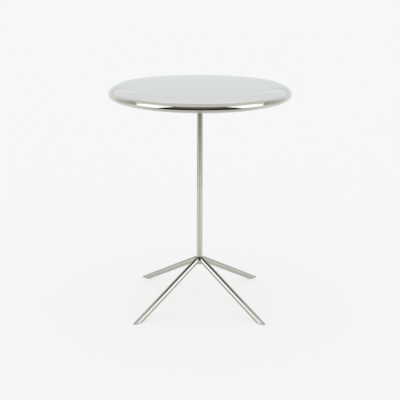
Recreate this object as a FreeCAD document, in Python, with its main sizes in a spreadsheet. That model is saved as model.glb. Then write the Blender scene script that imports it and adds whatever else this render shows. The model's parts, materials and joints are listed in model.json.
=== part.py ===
import FreeCAD, Part
import math
import os

import Sketcher
from FreeCAD import Placement, Rotation, Vector

# Driving dimensions of the table, millimetres
DRIVING_SIZES = {
    "table_height": 500.0,
    "top_diameter": 396.0,
    "upper_depth": 19.0,
    "lower_depth": 18.5,
    "shoulder_radius": 35.0,
    "nose_radius": 11.5,
    "belly_radius": 80.0,
    "sheet_thickness": 1.5,
    "seam_ring_thickness": 1.2,
    "seam_ring_height": 7.0,
    "damping_thickness": 3.0,
    "damping_border": 20.0,
    "backing_thickness": 3.0,
    "backing_border": 39.0,
    "screw_circle": 62.0,
    "screw_diameter": 6.0,
    "screw_point": 1.0,
    "screw_overrun": 1.0,
    "head_diameter": 10.5,
    "head_height": 3.3,
    "head_edge": 0.9,
    "head_flat": 6.0,
    "socket_width": 4.0,
    "socket_depth": 2.0,
    "washer_diameter": 11.8,
    "washer_thickness": 1.6,
    "washer_split": 1.0,
    "nut_width": 10.0,
    "nut_height": 5.0,
    "pad_thickness": 1.0,
    "flange_border": 14.0,
    "flange_thickness": 4.0,
    "flange_chamfer": 1.0,
    "neck_wall": 3.0,
    "neck_height": 8.0,
    "tube_diameter": 13.0,
    "tube_wall": 1.5,
    "hub_height": 102.0,
    "foot_circle": 373.6,
    "stem_overhang": 4.0,
    "plug_head": 2.5,
    "plug_chamfer": 0.5,
    "plug_length": 40.0,
    "glide_sole": 1.0,
    "glide_length": 22.0,
    "fit_clearance": 0.05,
    "hole_clearance": 0.3,
}

SCREW_COUNT = 4
LEG_PLACES = ("back_right", "back_left", "front_left", "front_right")

doc = FreeCAD.newDocument("RoundSideTable")
sheet = doc.addObject("Spreadsheet::Sheet", "Sizes")
for row, (alias, number) in enumerate(DRIVING_SIZES.items(), start=1):
    sheet.set(f"A{row}", alias)
    sheet.set(f"B{row}", str(number))
    sheet.setAlias(f"B{row}", alias)
doc.recompute()

# Levels of the top, from the driving dimensions
SEAM_LEVEL = "(Sizes.table_height - Sizes.upper_depth)"
UNDERSIDE_LEVEL = f"({SEAM_LEVEL} - Sizes.lower_depth)"
LOWER_INSIDE_LEVEL = f"({UNDERSIDE_LEVEL} + Sizes.sheet_thickness)"
NUT_SEAT_LEVEL = f"({LOWER_INSIDE_LEVEL} + Sizes.backing_thickness)"
UPPER_INSIDE_LEVEL = "(Sizes.table_height - Sizes.sheet_thickness)"
FLANGE_TOP_LEVEL = f"({UNDERSIDE_LEVEL} - Sizes.pad_thickness)"
WASHER_SEAT_LEVEL = f"({FLANGE_TOP_LEVEL} - Sizes.flange_thickness)"
HEAD_SEAT_LEVEL = f"({WASHER_SEAT_LEVEL} - Sizes.washer_thickness)"

# Radii of the rim and of the flat face of the top
TOP_RADIUS = "(Sizes.top_diameter / 2)"
NOSE_TO_SHOULDER = "(Sizes.shoulder_radius - Sizes.nose_radius)"
SHOULDER_TURN = f"acos((Sizes.shoulder_radius - Sizes.upper_depth) / {NOSE_TO_SHOULDER})"
FLAT_RADIUS = f"({TOP_RADIUS} - Sizes.nose_radius - {NOSE_TO_SHOULDER} * sin({SHOULDER_TURN}))"

# Radii of the tubes, the holes for the screws and the flange
TUBE_RADIUS = "(Sizes.tube_diameter / 2)"
BORE_RADIUS = f"({TUBE_RADIUS} - Sizes.tube_wall)"
STEM_SEAT_RADIUS = f"({TUBE_RADIUS} + Sizes.fit_clearance)"
NECK_RADIUS = f"({STEM_SEAT_RADIUS} + Sizes.neck_wall)"
SCREW_CIRCLE_RADIUS = "(Sizes.screw_circle / 2)"
SCREW_RADIUS = "(Sizes.screw_diameter / 2)"
SCREW_HOLE_RADIUS = f"({SCREW_RADIUS} + Sizes.hole_clearance)"
THREAD_RADIUS = f"({SCREW_RADIUS} + Sizes.fit_clearance)"
FLANGE_RADIUS = f"({SCREW_CIRCLE_RADIUS} + Sizes.flange_border)"
BACKING_RADIUS = f"({SCREW_CIRCLE_RADIUS} + Sizes.backing_border)"

# Run of a leg from the stem's axis down to the floor
FOOT_RADIUS = "(Sizes.foot_circle / 2)"
LEG_SLOPE = f"atan(Sizes.hub_height / {FOOT_RADIUS})"
LEG_MOUTH_DROP = f"({TUBE_RADIUS} * tan({LEG_SLOPE}) + {TUBE_RADIUS} / cos({LEG_SLOPE}))"
PLUG_LEVEL = f"(Sizes.hub_height - {LEG_MOUTH_DROP} - Sizes.stem_overhang)"
STEM_FOOT_LEVEL = f"({PLUG_LEVEL} + Sizes.plug_head)"

sub_parts = []


def value_of(expression):
    """Number that an expression on the driving dimensions comes to."""
    result = sheet.evalExpression(expression)
    return float(getattr(result, "Value", result))


def finish(sub_part, label):
    """Names a sub-part and lists it for writing."""
    sub_part.Label = label
    sub_parts.append(sub_part)
    return sub_part


def sketch_on(body, role, name, level=None):
    """Sketch on one of the body's own origin planes, raised to a level if one is given."""
    sketch = body.newObject("Sketcher::SketchObject", name)
    plane = next(feature for feature in body.Origin.OriginFeatures if feature.Role == role)
    sketch.AttachmentSupport = [(plane, "")]
    sketch.MapMode = "FlatFace"
    if level is not None:
        sketch.setExpression("AttachmentOffset.Base.z", level)
    return sketch


def bind(sketch, expression, kind, *places):
    """Dimension of a sketch that follows an expression."""
    constraint = Sketcher.Constraint(kind, *places, value_of(expression))
    index = sketch.addConstraint(constraint)
    sketch.setExpression(f"Constraints[{index}]", expression)


def tie(sketch, kind, *places):
    """Geometric relation in a sketch."""
    sketch.addConstraint(Sketcher.Constraint(kind, *places))


def place_point(sketch, item, point, across, up):
    """Holds a point of a line or circle at a distance across and up from the sketch's origin."""
    for expression, kind, axis in ((across, "DistanceX", -2), (up, "DistanceY", -1)):
        if expression == "0":
            tie(sketch, "PointOnObject", item, point, axis)
        else:
            bind(sketch, expression, kind, -1, 1, item, point)


def outline(sketch, corners):
    """Closed outline of straight lines through corners that are pairs of expressions."""
    points = [Vector(value_of(across), value_of(up), 0) for across, up in corners]
    lines = []
    for start, end in zip(points, points[1:] + points[:1]):
        lines.append(sketch.addGeometry(Part.LineSegment(start, end)))
    for line, following in zip(lines, lines[1:] + lines[:1]):
        tie(sketch, "Coincident", line, 2, following, 1)
    for line, (across, up) in zip(lines, corners):
        place_point(sketch, line, 1, across, up)


def circle(sketch, radius, across="0", up="0"):
    """Circle of a bound radius about a bound point."""
    centre = Vector(value_of(across), value_of(up), 0)
    ring = sketch.addGeometry(Part.Circle(centre, Vector(0, 0, 1), value_of(radius)))
    bind(sketch, radius, "Radius", ring)
    place_point(sketch, ring, 3, across, up)


def revolve(body, sketch, axis, name):
    """Full turn of a sketch about one of its axes."""
    feature = body.newObject("PartDesign::Revolution", name)
    feature.Profile = sketch
    feature.ReferenceAxis = (sketch, [axis])
    feature.Angle = 360


def cut_through(body, sketch, name):
    """Cut of a sketch through the whole body, both ways."""
    feature = body.newObject("PartDesign::Pocket", name)
    feature.Profile = sketch
    feature.SideType = "Symmetric"
    feature.Type = "ThroughAll"
    return feature


def drill_screw_holes(body):
    """Ring of clearance holes for the flange screws."""
    sketch = sketch_on(body, "XY_Plane", "ScrewHoleSketch")
    circle(sketch, SCREW_HOLE_RADIUS, SCREW_CIRCLE_RADIUS, "0")
    hole = cut_through(body, sketch, "ScrewHole")
    ring = body.newObject("PartDesign::PolarPattern", "ScrewHoles")
    ring.Originals = [hole]
    ring.Axis = (sketch, ["N_Axis"])
    ring.Angle = 360
    ring.Occurrences = SCREW_COUNT
    body.Tip = ring


def disc(name, radius, level, thickness, bore=None):
    """Round plate, or a ring or tube if it has a bore, standing on a level."""
    body = doc.addObject("PartDesign::Body", name)
    sketch = sketch_on(body, "XY_Plane", f"{name}Sketch", level)
    circle(sketch, radius)
    if bore is not None:
        circle(sketch, bore)
    pad = body.newObject("PartDesign::Pad", f"{name}Pad")
    pad.Profile = sketch
    pad.setExpression("Length", thickness)
    return body


def turned(name, corners):
    """Solid of revolution about the vertical axis through the corners of its half section."""
    body = doc.addObject("PartDesign::Body", name)
    sketch = sketch_on(body, "XZ_Plane", f"{name}Sketch")
    outline(sketch, corners)
    revolve(body, sketch, "V_Axis", f"{name}Turn")
    return body


def at_screws(make_one, level, label):
    """Group of one fastener at each place on the screw circle, seated on a level."""
    copies = []
    for index in range(SCREW_COUNT):
        turn = 360 * index / SCREW_COUNT
        fastener = make_one()
        fastener.Placement = Placement(Vector(), Rotation(Vector(0, 0, 1), turn))
        fastener.setExpression("Placement.Base.x", f"{SCREW_CIRCLE_RADIUS} * cos({turn})")
        fastener.setExpression("Placement.Base.y", f"{SCREW_CIRCLE_RADIUS} * sin({turn})")
        fastener.setExpression("Placement.Base.z", level)
        copies.append(fastener)
    group = doc.addObject("Part::Compound", "Fasteners")
    group.Links = copies
    return finish(group, label)


def primitive(kind, name, **sizes):
    """Basic solid with its sizes bound to expressions."""
    solid = doc.addObject(kind, name)
    for size, expression in sizes.items():
        solid.setExpression(size, expression)
    return solid


def boolean(kind, name, base, tool):
    """Cut, fusion or common part of two solids."""
    result = doc.addObject(kind, name)
    result.Base = base
    result.Tool = tool
    return result


def half_shell(name, face_level, depth, big_radius, upward):
    """One spun half of the top, of even thickness: flat face, large edge arc and nose arc to the seam.

    upward is 1 for the upper half, whose face lies above the seam, and -1 for the lower half.
    """
    body = doc.addObject("PartDesign::Body", name)
    sketch = sketch_on(body, "XZ_Plane", f"{name}Section")

    rim = value_of(TOP_RADIUS)
    nose = value_of("Sizes.nose_radius")
    big = value_of(big_radius)
    wall = value_of("Sizes.sheet_thickness")
    face = value_of(face_level)
    seam = value_of(SEAM_LEVEL)
    turn = math.acos((big - value_of(depth)) / (big - nose))
    nose_centre = Vector(rim - nose, seam, 0)
    big_centre = nose_centre - Vector(math.sin(turn), upward * math.cos(turn), 0) * (big - nose)

    def arc(centre, radius, from_turn, to_turn):
        first, last = sorted(upward * (math.pi / 2 - angle) for angle in (from_turn, to_turn))
        round_edge = Part.Circle(centre, Vector(0, 0, 1), radius)
        return sketch.addGeometry(Part.ArcOfCircle(round_edge, first, last))

    def line(start, end):
        return sketch.addGeometry(Part.LineSegment(start, end))

    inner_face = face - upward * wall
    flat = line(Vector(0, face, 0), Vector(big_centre.x, face, 0))
    edge_arc = arc(big_centre, big, 0, turn)
    nose_arc = arc(nose_centre, nose, turn, math.pi / 2)
    seam_line = line(Vector(rim, seam, 0), Vector(rim - wall, seam, 0))
    inner_nose = arc(nose_centre, nose - wall, turn, math.pi / 2)
    inner_edge = arc(big_centre, big - wall, 0, turn)
    inner_flat = line(Vector(big_centre.x, inner_face, 0), Vector(0, inner_face, 0))
    axis_line = line(Vector(0, inner_face, 0), Vector(0, face, 0))

    # Arcs run anticlockwise, so which end is nearer the face depends on the half
    near_face, near_seam = (2, 1) if upward > 0 else (1, 2)
    tie(sketch, "PointOnObject", flat, 1, -2)
    tie(sketch, "Horizontal", flat)
    tie(sketch, "Tangent", flat, 2, edge_arc, near_face)
    tie(sketch, "Tangent", edge_arc, near_seam, nose_arc, near_face)
    tie(sketch, "Coincident", nose_arc, near_seam, seam_line, 1)
    tie(sketch, "Horizontal", nose_arc, 3, seam_line, 1)
    tie(sketch, "Horizontal", seam_line)
    tie(sketch, "Coincident", seam_line, 2, inner_nose, near_seam)
    tie(sketch, "Coincident", inner_nose, 3, nose_arc, 3)
    tie(sketch, "Coincident", inner_edge, 3, edge_arc, 3)
    tie(sketch, "Tangent", inner_nose, near_face, inner_edge, near_seam)
    tie(sketch, "Tangent", inner_edge, near_face, inner_flat, 1)
    tie(sketch, "Horizontal", inner_flat)
    tie(sketch, "Coincident", inner_flat, 2, axis_line, 1)
    tie(sketch, "Coincident", axis_line, 2, flat, 1)
    tie(sketch, "Vertical", axis_line)
    bind(sketch, face_level, "DistanceY", -1, 1, flat, 1)
    bind(sketch, big_radius, "Radius", edge_arc)
    bind(sketch, "Sizes.nose_radius", "Radius", nose_arc)
    bind(sketch, "Sizes.nose_radius - Sizes.sheet_thickness", "Radius", inner_nose)
    bind(sketch, TOP_RADIUS, "DistanceX", -1, 1, seam_line, 1)
    bind(sketch, SEAM_LEVEL, "DistanceY", -1, 1, seam_line, 1)
    revolve(body, sketch, "V_Axis", f"{name}Turn")
    return body


def make_top():
    """Hollow top: two spun shells butted at the rim, and what is fixed inside them."""
    upper = half_shell("UpperShell", "Sizes.table_height", "Sizes.upper_depth", "Sizes.shoulder_radius", 1)
    finish(upper, "top_upper_shell")
    lower = half_shell("LowerShell", UNDERSIDE_LEVEL, "Sizes.lower_depth", "Sizes.belly_radius", -1)
    drill_screw_holes(lower)
    finish(lower, "top_lower_shell")

    # Strip behind the seam, bearing on the inside of the nose at its two edges
    inside_nose = "(Sizes.nose_radius - Sizes.sheet_thickness - Sizes.fit_clearance)"
    half_height = "(Sizes.seam_ring_height / 2)"
    ring_radius = f"({TOP_RADIUS} - Sizes.nose_radius + sqrt({inside_nose} ^ 2 - {half_height} ^ 2))"
    seam_ring = disc(
        "SeamRing",
        ring_radius,
        f"{SEAM_LEVEL} - {half_height}",
        "Sizes.seam_ring_height",
        f"{ring_radius} - Sizes.seam_ring_thickness",
    )
    finish(seam_ring, "seam_ring")

    damping_level = f"{UPPER_INSIDE_LEVEL} - Sizes.damping_thickness"
    damping_radius = f"{FLAT_RADIUS} - Sizes.damping_border"
    damping_pad = disc("DampingPad", damping_radius, damping_level, "Sizes.damping_thickness")
    finish(damping_pad, "damping_pad")

    backing_plate = disc("BackingPlate", BACKING_RADIUS, LOWER_INSIDE_LEVEL, "Sizes.backing_thickness")
    drill_screw_holes(backing_plate)
    finish(backing_plate, "backing_plate")


def weld_nut():
    """Hexagon nut standing on the backing plate, bored for the screw."""
    blank = primitive(
        "Part::Prism", "NutBlank", Circumradius="Sizes.nut_width / sqrt(3)", Height="Sizes.nut_height"
    )
    blank.Polygon = 6
    bore = primitive("Part::Cylinder", "NutBore", Radius=THREAD_RADIUS, Height="Sizes.nut_height")
    return boolean("Part::Cut", "WeldNut", blank, bore)


def lock_washer():
    """Split ring between the flange and a screw's head."""
    outer_radius = "(Sizes.washer_diameter / 2)"
    body = disc("LockWasher", outer_radius, "0", "Sizes.washer_thickness", SCREW_HOLE_RADIUS)
    half_split = "(Sizes.washer_split / 2)"
    far_side = f"({outer_radius} + Sizes.washer_split)"
    sketch = sketch_on(body, "XY_Plane", "SplitSketch")
    outline(
        sketch,
        [
            ("0", f"-{half_split}"),
            (far_side, f"-{half_split}"),
            (far_side, half_split),
            ("0", half_split),
        ],
    )
    cut_through(body, sketch, "Split")
    return body


def flange_screw():
    """Button head screw pointing up, with its seat at its own zero level and a hexagon socket below."""
    shank_length = f"({NUT_SEAT_LEVEL} + Sizes.nut_height + Sizes.screw_overrun - {HEAD_SEAT_LEVEL})"
    body = doc.addObject("PartDesign::Body", "FlangeScrew")
    sketch = sketch_on(body, "XZ_Plane", "ScrewSection")
    outline(
        sketch,
        [
            ("0", "-Sizes.head_height"),
            ("Sizes.head_flat / 2", "-Sizes.head_height"),
            ("Sizes.head_diameter / 2", "-Sizes.head_edge"),
            ("Sizes.head_diameter / 2", "0"),
            (SCREW_RADIUS, "0"),
            (SCREW_RADIUS, f"{shank_length} - Sizes.screw_point"),
            (f"{SCREW_RADIUS} - Sizes.screw_point", shank_length),
            ("0", shank_length),
        ],
    )
    revolve(body, sketch, "V_Axis", "ScrewTurn")
    socket_sketch = sketch_on(body, "XY_Plane", "SocketSketch", "-Sizes.head_height")
    corner_radius = "Sizes.socket_width / sqrt(3)"
    corners = [(f"{corner_radius} * cos({60 * k})", f"{corner_radius} * sin({60 * k})") for k in range(6)]
    outline(socket_sketch, corners)
    socket = body.newObject("PartDesign::Pocket", "Socket")
    socket.Profile = socket_sketch
    socket.Reversed = True
    socket.setExpression("Length", "Sizes.socket_depth")
    return body


def make_fixing():
    """Flange on the stem's upper end, its pad, and the fasteners that hold it to the top."""
    flange_pad = disc("FlangePad", FLANGE_RADIUS, FLANGE_TOP_LEVEL, "Sizes.pad_thickness", STEM_SEAT_RADIUS)
    drill_screw_holes(flange_pad)
    finish(flange_pad, "flange_pad")

    neck_level = f"({WASHER_SEAT_LEVEL} - Sizes.neck_height)"
    flange = turned(
        "StemFlange",
        [
            (STEM_SEAT_RADIUS, FLANGE_TOP_LEVEL),
            (FLANGE_RADIUS, FLANGE_TOP_LEVEL),
            (FLANGE_RADIUS, f"{WASHER_SEAT_LEVEL} + Sizes.flange_chamfer"),
            (f"{FLANGE_RADIUS} - Sizes.flange_chamfer", WASHER_SEAT_LEVEL),
            (NECK_RADIUS, WASHER_SEAT_LEVEL),
            (NECK_RADIUS, f"{neck_level} + Sizes.flange_chamfer"),
            (f"{NECK_RADIUS} - Sizes.flange_chamfer", neck_level),
            (STEM_SEAT_RADIUS, neck_level),
        ],
    )
    drill_screw_holes(flange)
    finish(flange, "stem_flange")

    at_screws(weld_nut, NUT_SEAT_LEVEL, "weld_nuts")
    at_screws(lock_washer, HEAD_SEAT_LEVEL, "lock_washers")
    at_screws(flange_screw, HEAD_SEAT_LEVEL, "flange_screws")


def make_stem():
    """Straight tube from the flange to below the legs, closed by a turned plug."""
    stem_length = f"{FLANGE_TOP_LEVEL} - {STEM_FOOT_LEVEL}"
    stem = disc("StemTube", TUBE_RADIUS, STEM_FOOT_LEVEL, stem_length, BORE_RADIUS)
    finish(stem, "stem_tube")

    shank_radius = f"({BORE_RADIUS} - Sizes.fit_clearance)"
    shank_top = f"({STEM_FOOT_LEVEL} + Sizes.plug_length)"
    plug = turned(
        "StemPlug",
        [
            ("0", PLUG_LEVEL),
            (f"{TUBE_RADIUS} - Sizes.plug_chamfer", PLUG_LEVEL),
            (TUBE_RADIUS, f"{PLUG_LEVEL} + Sizes.plug_chamfer"),
            (TUBE_RADIUS, STEM_FOOT_LEVEL),
            (shank_radius, STEM_FOOT_LEVEL),
            (shank_radius, f"{shank_top} - Sizes.plug_chamfer"),
            (f"{shank_radius} - Sizes.plug_chamfer", shank_top),
            ("0", shank_top),
        ],
    )
    finish(plug, "stem_plug")


def leg(name):
    """Tube along +X from the stem's axis to the floor, coped to the stem and mitred to its neighbours."""
    body = doc.addObject("PartDesign::Body", "Leg")
    sketch = sketch_on(body, "XZ_Plane", "WallSection")
    hub = Vector(0, value_of("Sizes.hub_height"), 0)
    foot = Vector(value_of(FOOT_RADIUS), 0, 0)
    along = (foot - hub).normalize()
    outward = Vector(-along.y, along.x, 0)
    overrun = "Sizes.tube_diameter * 2"
    far_end = foot + along * value_of(overrun)
    near_wall = outward * value_of(BORE_RADIUS)
    far_wall = outward * value_of(TUBE_RADIUS)
    axis = sketch.addGeometry(Part.LineSegment(hub, foot), True)
    corners = [hub + near_wall, hub + far_wall, far_end + far_wall, far_end + near_wall]
    walls = []
    for start, end in zip(corners, corners[1:] + corners[:1]):
        walls.append(sketch.addGeometry(Part.LineSegment(start, end)))
    for wall, following in zip(walls, walls[1:] + walls[:1]):
        tie(sketch, "Coincident", wall, 2, following, 1)
    hub_end, outer_wall, foot_end, inner_wall = walls
    tie(sketch, "PointOnObject", axis, 1, -2)
    tie(sketch, "PointOnObject", axis, 2, -1)
    tie(sketch, "PointOnObject", axis, 1, hub_end)
    tie(sketch, "Perpendicular", hub_end, axis)
    tie(sketch, "Parallel", outer_wall, axis)
    tie(sketch, "Perpendicular", foot_end, axis)
    tie(sketch, "Parallel", inner_wall, axis)
    bind(sketch, "Sizes.hub_height", "DistanceY", -1, 1, axis, 1)
    bind(sketch, FOOT_RADIUS, "DistanceX", -1, 1, axis, 2)
    bind(sketch, TUBE_RADIUS, "Distance", outer_wall, 1, axis)
    bind(sketch, BORE_RADIUS, "Distance", inner_wall, 1, axis)
    bind(sketch, overrun, "Distance", axis, 2, foot_end)
    revolve(body, sketch, "Axis0", "Tube")

    # Level cut above the glide's sole, past the tube's end on every side
    reach = f"({FOOT_RADIUS} + Sizes.tube_diameter * 4)"
    depth = "(-Sizes.tube_diameter * 4)"
    floor_sketch = sketch_on(body, "XZ_Plane", "FloorCutSketch")
    outline(
        floor_sketch,
        [("0", depth), (reach, depth), (reach, "Sizes.glide_sole"), ("0", "Sizes.glide_sole")],
    )
    cut_through(body, floor_sketch, "FloorCut")

    cope_sketch = sketch_on(body, "XY_Plane", "CopeSketch")
    circle(cope_sketch, STEM_SEAT_RADIUS)
    cut_through(body, cope_sketch, "Cope")

    # The quarter about +X is kept, and the rest belongs to the neighbouring legs
    side = "Sizes.tube_diameter"
    mitre_sketch = sketch_on(body, "XY_Plane", "MitreSketch")
    outline(
        mitre_sketch,
        [("0", "0"), (side, side), (f"-{side}", side), (f"-{side}", f"-{side}"), (side, f"-{side}")],
    )
    cut_through(body, mitre_sketch, "Mitre")
    return finish(body, name)


def foot_bar(name, radius):
    """Round bar on a leg's axis, from inside the tube to beyond the floor."""
    length = "Sizes.glide_length + Sizes.tube_diameter * 2"
    bar = primitive("Part::Cylinder", name, Radius=radius, Height=length)
    bar.Placement = Placement(Vector(), Rotation(Vector(0, 1, 0), 90))
    bar.setExpression("Placement.Base.x", f"{FOOT_RADIUS} - Sizes.glide_length * cos({LEG_SLOPE})")
    bar.setExpression("Placement.Base.z", f"Sizes.glide_length * sin({LEG_SLOPE})")
    bar.setExpression("Placement.Rotation.Angle", f"90 deg + {LEG_SLOPE}")
    return bar


def floor_slab(name, height):
    """Block on the floor about a leg's foot."""
    length = "(Sizes.glide_length + Sizes.tube_diameter * 4) * 2"
    slab = primitive("Part::Box", name, Length=length, Width="Sizes.tube_diameter * 2", Height=height)
    slab.setExpression("Placement.Base.x", f"{FOOT_RADIUS} - {length} / 2")
    slab.setExpression("Placement.Base.y", "-Sizes.tube_diameter")
    return slab


def glide(name):
    """Plug in a leg's open end with a sole of the tube's own outline, level with the floor."""
    sole = boolean(
        "Part::Common",
        "GlideSole",
        foot_bar("SoleBar", TUBE_RADIUS),
        floor_slab("SoleSlab", "Sizes.glide_sole"),
    )
    shank = boolean(
        "Part::Common",
        "GlideShank",
        foot_bar("ShankBar", f"{BORE_RADIUS} - Sizes.fit_clearance"),
        floor_slab("ShankSlab", "Sizes.glide_length + Sizes.tube_diameter"),
    )
    return finish(boolean("Part::Fuse", "Glide", sole, shank), name)


def make_legs():
    """Legs about the stem at even turns, clear of the front, each with its glide."""
    for index, place in enumerate(LEG_PLACES):
        angle = 360 * (index + 0.5) / len(LEG_PLACES)
        turn = Placement(Vector(), Rotation(Vector(0, 0, 1), angle))
        leg(f"leg_{place}").Placement = turn
        glide(f"glide_{place}").Placement = turn


make_top()
make_fixing()
make_stem()
make_legs()
doc.recompute()

failed = [item.Name for item in doc.Objects if {"Invalid", "Error"} & set(item.State)]
for sub_part in sub_parts:
    if sub_part.Shape.isNull() or not sub_part.Shape.isValid():
        failed.append(sub_part.Label)
if failed:
    raise RuntimeError(f"failed: {failed}")

os.makedirs("parts", exist_ok=True)
for sub_part in sub_parts:
    sub_part.Shape.exportStep(f"parts/{sub_part.Label}.step")
    solids = len(sub_part.Shape.Solids)
    print(f"{sub_part.Label}: {solids} solid(s), {sub_part.Shape.Volume:.1f} mm3")
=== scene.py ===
import json
import math

import bmesh
import bpy
from mathutils import Matrix, Vector


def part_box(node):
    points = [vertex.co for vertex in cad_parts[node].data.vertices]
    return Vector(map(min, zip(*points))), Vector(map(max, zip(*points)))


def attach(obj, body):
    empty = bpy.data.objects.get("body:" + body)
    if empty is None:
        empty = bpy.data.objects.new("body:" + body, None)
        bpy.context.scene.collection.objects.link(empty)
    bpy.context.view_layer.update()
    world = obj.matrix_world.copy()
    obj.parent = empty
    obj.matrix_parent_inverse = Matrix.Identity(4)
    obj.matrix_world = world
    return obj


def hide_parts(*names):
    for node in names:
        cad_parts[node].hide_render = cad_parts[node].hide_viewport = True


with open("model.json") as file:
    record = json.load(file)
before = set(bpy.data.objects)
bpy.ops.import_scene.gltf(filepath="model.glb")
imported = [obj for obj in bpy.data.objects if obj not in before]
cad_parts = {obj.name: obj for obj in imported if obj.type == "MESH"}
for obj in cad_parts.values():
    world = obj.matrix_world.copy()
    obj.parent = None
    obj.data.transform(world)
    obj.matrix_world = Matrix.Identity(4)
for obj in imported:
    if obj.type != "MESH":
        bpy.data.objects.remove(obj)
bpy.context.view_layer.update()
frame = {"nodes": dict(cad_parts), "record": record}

scene = bpy.context.scene
print("frame loaded:", len(frame["nodes"]), "solids")


class Wire:
    # A socket of any node tree. Arithmetic on it adds Math nodes, and node() adds any other node.
    def __init__(self, tree, socket=None):
        self.tree = tree
        self.socket = socket

    def node(self, kind, settings=None, sockets=None, output=0):
        made = self.tree.nodes.new(kind)
        for name, value in (settings or {}).items():
            if name == "stops":
                setStops(made.color_ramp, value)
            else:
                setattr(made, name, value)
        for name, value in (sockets or {}).items():
            self.plug(made.inputs[name], value)
        return Wire(self.tree, made.outputs[output]) if made.outputs else made

    def plug(self, target, value):
        if isinstance(value, Wire):
            self.tree.links.new(value.socket, target)
        else:
            target.default_value = value

    def other(self, output):
        # another output of the node that this socket belongs to
        return Wire(self.tree, self.socket.node.outputs[output])

    def math(self, operation, *values):
        return self.node("ShaderNodeMath", {"operation": operation}, dict(enumerate(values)))

    def apply(self, operation, *values):
        return self.math(operation, self, *values)

    def between(self, low, high):
        # 0 at the first value and 1 at the second, and no change beyond them
        return self.node("ShaderNodeClamp", None, {"Value": (self - low) / (high - low)})

    def scaled(self, factors):
        return self.node("ShaderNodeVectorMath", {"operation": "MULTIPLY"}, {0: self, 1: factors})

    def colours(self, low, high):
        # this value as the share of the second colour
        return self.node("ShaderNodeMix", {"data_type": "RGBA"}, {0: self, 6: low, 7: high}, 2)

    def __add__(self, value):
        return self.math("ADD", self, value)

    def __radd__(self, value):
        return self.math("ADD", value, self)

    def __sub__(self, value):
        return self.math("SUBTRACT", self, value)

    def __rsub__(self, value):
        return self.math("SUBTRACT", value, self)

    def __mul__(self, value):
        return self.math("MULTIPLY", self, value)

    def __rmul__(self, value):
        return self.math("MULTIPLY", value, self)

    def __truediv__(self, value):
        return self.math("DIVIDE", self, value)

    def __rtruediv__(self, value):
        return self.math("DIVIDE", value, self)

    def __gt__(self, value):
        return self.math("GREATER_THAN", self, value)

    def __lt__(self, value):
        return self.math("LESS_THAN", self, value)


def setStops(ramp, stops):
    while len(ramp.elements) < len(stops):
        ramp.elements.new(1.0)
    for element, (place, colour) in zip(ramp.elements, stops):
        element.position = place
        element.color = opaque(colour)


def opaque(colour):
    return (*colour, 1.0)


# Finishes. Each is a node material on Object coordinates in metres, and a leg's polish marks follow its bar.

def newMaterial(name):
    material = bpy.data.materials.new(name)
    material.use_nodes = True
    material.node_tree.nodes.clear()
    return material, Wire(material.node_tree)


def newFinish(name):
    finish, start = newMaterial(name)
    return finish, start.node("ShaderNodeTexCoord", output="Object")


def endFinish(place, sockets):
    shader = place.node("ShaderNodeBsdfPrincipled", None, sockets)
    place.node("ShaderNodeOutputMaterial", None, {"Surface": shader})


def noise(place, scale, detail):
    return place.node("ShaderNodeTexNoise", None, {"Vector": place, "Scale": scale, "Detail": detail})


def bump(height, distance, strength=1.0):
    return height.node("ShaderNodeBump", None, {
        "Strength": strength, "Distance": distance, "Height": height})


def axisDistance(place):
    # how far a point lies from the stem's axis
    flat = place.scaled((1.0, 1.0, 0.0))
    return flat.node("ShaderNodeVectorMath", {"operation": "LENGTH"}, {0: flat}, "Value")


def ringMarks(radius, scale, detail):
    # fine rings about the stem's axis, left by the lathe or the polishing wheel
    return radius.node("ShaderNodeTexNoise", {"noise_dimensions": "1D"}, {
        "W": radius, "Scale": scale, "Detail": detail})


def blotches(broad, fine, settings):
    # the finish's two colours, mixed by a broad mark and a fine one
    share = settings["broadShare"]
    return (share * broad + (1 - share) * fine).colours(opaque(settings["low"]), opaque(settings["high"]))


def swing(mark, width):
    # a noise as a change up and down from its middle
    return width * (mark - 0.5)


# rings, smudge and the other marks are each the scale and the detail of a noise
topPolish = {
    "low": (0.600, 0.592, 0.535),
    "high": (0.635, 0.625, 0.566),
    "rings": (700.0, 3.0),
    "smudge": (11.0, 4.0),
    "haze": (46.0, 3.0),
    "broadShare": 0.7,
    "roughness": 0.035,
    "smudgeSpread": 0.030,
    "ringSpread": 0.022,
    "hazeSpread": 0.012,
    "hazeHeight": 0.8,
    "depth": 0.0000012,
}
lacquer = {
    "radius": 0.1745,
    "edge": 0.0004,       # width over which it thins out
    "low": (0.016, 0.016, 0.017),
    "high": (0.026, 0.026, 0.027),
    "grain": (900.0, 2.0),
    "roughness": 0.34,
    "grainSpread": 0.08,
}


def makeTopFinish(name, lacquered):
    finish, place = newFinish(name)
    radius = axisDistance(place)
    rings = ringMarks(radius, *topPolish["rings"])
    smudge = noise(place, *topPolish["smudge"])
    haze = noise(place, *topPolish["haze"])
    colour = blotches(smudge, rings, topPolish)
    roughness = topPolish["roughness"] + swing(smudge, topPolish["smudgeSpread"])
    roughness = roughness + swing(rings, topPolish["ringSpread"]) + topPolish["hazeSpread"] * haze
    metallic = 1.0
    if lacquered:
        # the flat underside is lacquered dark up to where the belly starts to turn
        painted = radius.between(lacquer["radius"], lacquer["radius"] - lacquer["edge"])
        grain = noise(place, *lacquer["grain"])
        paint = grain.colours(opaque(lacquer["low"]), opaque(lacquer["high"]))
        colour = painted.colours(colour, paint)
        roughness = roughness + painted * (lacquer["roughness"] + lacquer["grainSpread"] * grain - roughness)
        metallic = 1.0 - painted
    endFinish(place, {
        "Base Color": colour,
        "Roughness": roughness,
        "Metallic": metallic,
        "Normal": bump(rings + topPolish["hazeHeight"] * haze, topPolish["depth"]),
    })
    return finish


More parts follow.
